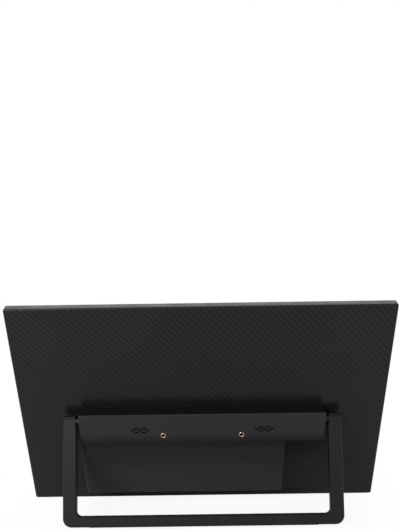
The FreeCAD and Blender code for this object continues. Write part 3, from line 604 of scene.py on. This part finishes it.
def into_scene(name, data):
    """Object that shows the given data, at the origin."""
    made = bpy.data.objects.new(name, data)
    bpy.context.scene.collection.objects.link(made)
    return made


def mesh_object(name, mesh, finish):
    """Object made from a finished bmesh."""
    data = bpy.data.meshes.new(name)
    mesh.to_mesh(data)
    mesh.free()
    data.materials.append(finish)
    return into_scene(name, data)


def piece_of(name, mesh, finish, body):
    """Turns a finished bmesh into a piece that rides on a body, smooth but for its sharp edges."""
    bmesh.ops.recalc_face_normals(mesh, faces=mesh.faces)
    for face in mesh.faces:
        face.smooth = True
    for edge in mesh.edges:
        edge.smooth = edge.calc_face_angle(0.0) < sharp_angle
    made = mesh_object(name, mesh, finish)
    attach(made, body)
    return made


def lathe(mesh, profile, axis):
    """Turns a closed profile of radius and height once round an axis through the origin."""
    out = axis.orthogonal().normalized()
    rim = [mesh.verts.new(out * radius + axis * height) for radius, height in profile]
    edges = [mesh.edges.new(ends) for ends in zip(rim, rim[1:] + rim[:1])]
    bmesh.ops.spin(
        mesh, geom=rim + edges, axis=axis, angle=2 * math.pi, steps=lathe_steps, use_merge=True)


def turned_inserts():
    """Both brass inserts with their threads cut in."""
    mesh = bmesh.new()
    profile = [
        (insert_radius, -insert_half),
        (insert_radius, insert_half),
        (insert_radius - mouth_bevel, insert_half + mouth_bevel),
        (insert_bore + mouth_bevel, insert_half + mouth_bevel),
    ]
    for turn in range(int(2 * insert_half / thread_pitch)):
        crest = insert_half - turn * thread_pitch
        profile += [(insert_bore, crest), (insert_bore + thread_depth, crest - thread_pitch / 2)]
    profile.append((insert_bore, -insert_half))
    for mount in inserts:
        before = set(mesh.verts)
        lathe(mesh, profile, Vector((0, 1, 0)))
        fresh = [vertex for vertex in mesh.verts if vertex not in before]
        place = Matrix.Translation(mount["pos_m"]) @ Matrix.Rotation(-lean, 4, "X")
        bmesh.ops.transform(mesh, matrix=place, verts=fresh)
    made = piece_of("turned_inserts", mesh, finishes["brass"], "display")
    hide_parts("threaded_inserts")


def contact_strips(name, mouth, depth, middles, half_thick, count, pitch):
    """Gilt strips on both faces of the socket tongues."""
    mesh = bmesh.new()
    centre = mouth + tongue_start + contact_inset + contact_length / 2
    size = Matrix.Diagonal((contact_length, 2 * contact_rise, contact_width, 1))
    for middle in middles:
        for side in (-1, 1):
            for index in range(count):
                height = middle + (index - (count - 1) / 2) * pitch
                spot = Vector((centre, depth + side * half_thick, height))
                bmesh.ops.create_cube(mesh, size=1, matrix=Matrix.Translation(spot) @ size)
    bmesh.ops.transform(mesh, matrix=panel_place, verts=mesh.verts)
    piece_of(name, mesh, contact_gold, "display")


def jack_ring():
    """Bright ring round the mouth of the audio jack."""
    mesh = bmesh.new()
    profile = [
        (jack_ring_bore, 0),
        (jack_ring_radius, 0),
        (jack_ring_radius, -jack_ring_thick),
        (jack_ring_bore, -jack_ring_thick),
    ]
    lathe(mesh, profile, Vector((1, 0, 0)))
    spot = Vector((jack_low.x, (jack_low.y + jack_high.y) / 2, (jack_low.z + jack_high.z) / 2))
    bmesh.ops.transform(mesh, matrix=panel_place @ Matrix.Translation(spot), verts=mesh.verts)
    piece_of("jack_ring", mesh, ring_nickel, "display")


def key_mark(key, sides, turn):
    """Small raised mark on the face of a key, round or pointed along the panel."""
    low, high = panel_box(key)
    mesh = bmesh.new()
    face = Vector((high.x + mark_rise / 2, (low.y + high.y) / 2, (low.z + high.z) / 2))
    outward = Matrix.Rotation(math.pi / 2, 4, "Y") @ Matrix.Rotation(turn, 4, "Z")
    bmesh.ops.create_cone(
        mesh, cap_ends=True, segments=sides, radius1=mark_radius, radius2=mark_radius * mark_taper,
        depth=mark_rise, matrix=panel_place @ Matrix.Translation(face) @ outward)
    piece_of(key + "_mark", mesh, finishes["plug_plastic"], key)


turned_inserts()
contact_strips(
    "oval_socket_contacts", oval_low.x, oval_depth, oval_middles, oval_tongue_half, oval_strips, oval_pitch)
contact_strips(
    "wide_socket_contacts", wide_low.x, wide_depth, wide_middles, wide_tongue_half, wide_strips, wide_pitch)
jack_ring()
for key, (sides, turn) in key_marks.items():
    key_mark(key, sides, turn)


def pale_floor():
    """Pale finish that keeps the shadow, fades to plain white further out and is clear from below."""
    material, shade = new_finish("pale_floor")
    x, y = shade.along("XY", shade.point())
    aside = fade_sideways * x
    away = shade.ramp((aside * aside + y * y).root(), fade_start, fade_end)
    matt = shade.node("ShaderNodeBsdfDiffuse", {}, {"Color": [floor_tone] * 3 + [1.0]})
    white = shade.node("ShaderNodeEmission", {}, {"Color": [1.0] * 4, "Strength": 1.0})
    looked_at, mirrored = shade.seen()
    share = looked_at * (floor_white + away * (1 - floor_white))
    share = share.higher(mirrored * (floor_mirrored + away * (1 - floor_mirrored)))
    both = shade.node("ShaderNodeMixShader", {}, {0: share, 1: matt, 2: white})
    from_under = shade.node("ShaderNodeNewGeometry", output="Backfacing")
    clear = shade.node("ShaderNodeBsdfTransparent")
    one_sided = shade.node("ShaderNodeMixShader", {}, {0: from_under, 1: both, 2: clear})
    shade.node("ShaderNodeOutputMaterial", {}, {"Surface": one_sided})
    return material


def floor():
    """Large flat floor under the monitor."""
    mesh = bmesh.new()
    bmesh.ops.create_grid(mesh, x_segments=1, y_segments=1, size=floor_size)
    made = mesh_object("floor", mesh, pale_floor())


def room():
    """Even grey light all round that shows as white behind the monitor."""
    world = bpy.data.worlds.new("room")
    world.use_nodes = True
    shade = Shade(world.node_tree)
    looked_at, mirrored = shade.seen()
    strength = room_light + looked_at.higher(mirrored) * (1 - room_light)
    light = shade.node("ShaderNodeBackground", {}, {"Color": [1.0] * 4, "Strength": strength})
    shade.node("ShaderNodeOutputWorld", {}, {"Surface": light})
    bpy.context.scene.world = world


def soft_box(name, spot, width, height, watts):
    """Large soft lamp that faces the middle of the monitor."""
    lamp = bpy.data.lights.new(name, "AREA")
    lamp.shape = "RECTANGLE"
    lamp.size = width
    lamp.size_y = height
    lamp.energy = watts
    made = into_scene(name, lamp)
    made.location = spot
    made.rotation_euler = ((cad_low + cad_high) / 2 - spot).to_track_quat("-Z", "Y").to_euler()
    made.visible_camera = False


def camera():
    """Camera behind the monitor and a little above it."""
    lens = bpy.data.cameras.new("camera")
    lens.sensor_width = sensor
    lens.lens = focal_pixels * sensor / image_height
    lens.shift_y = (centre_row - image_height / 2) / image_height
    made = into_scene("camera", lens)
    made.matrix_world = (
        Matrix.Translation(eye) @ Matrix.Rotation(heading, 4, "Z")
        @ Matrix.Rotation(math.pi / 2 - look_down, 4, "X") @ Matrix.Rotation(roll, 4, "Z"))
    bpy.context.scene.camera = made


floor()
room()
for name, (spot, width, height, watts) in lamps.items():
    soft_box(name, spot, width, height, watts)
camera()
bpy.context.scene.view_settings.view_transform = "Standard"
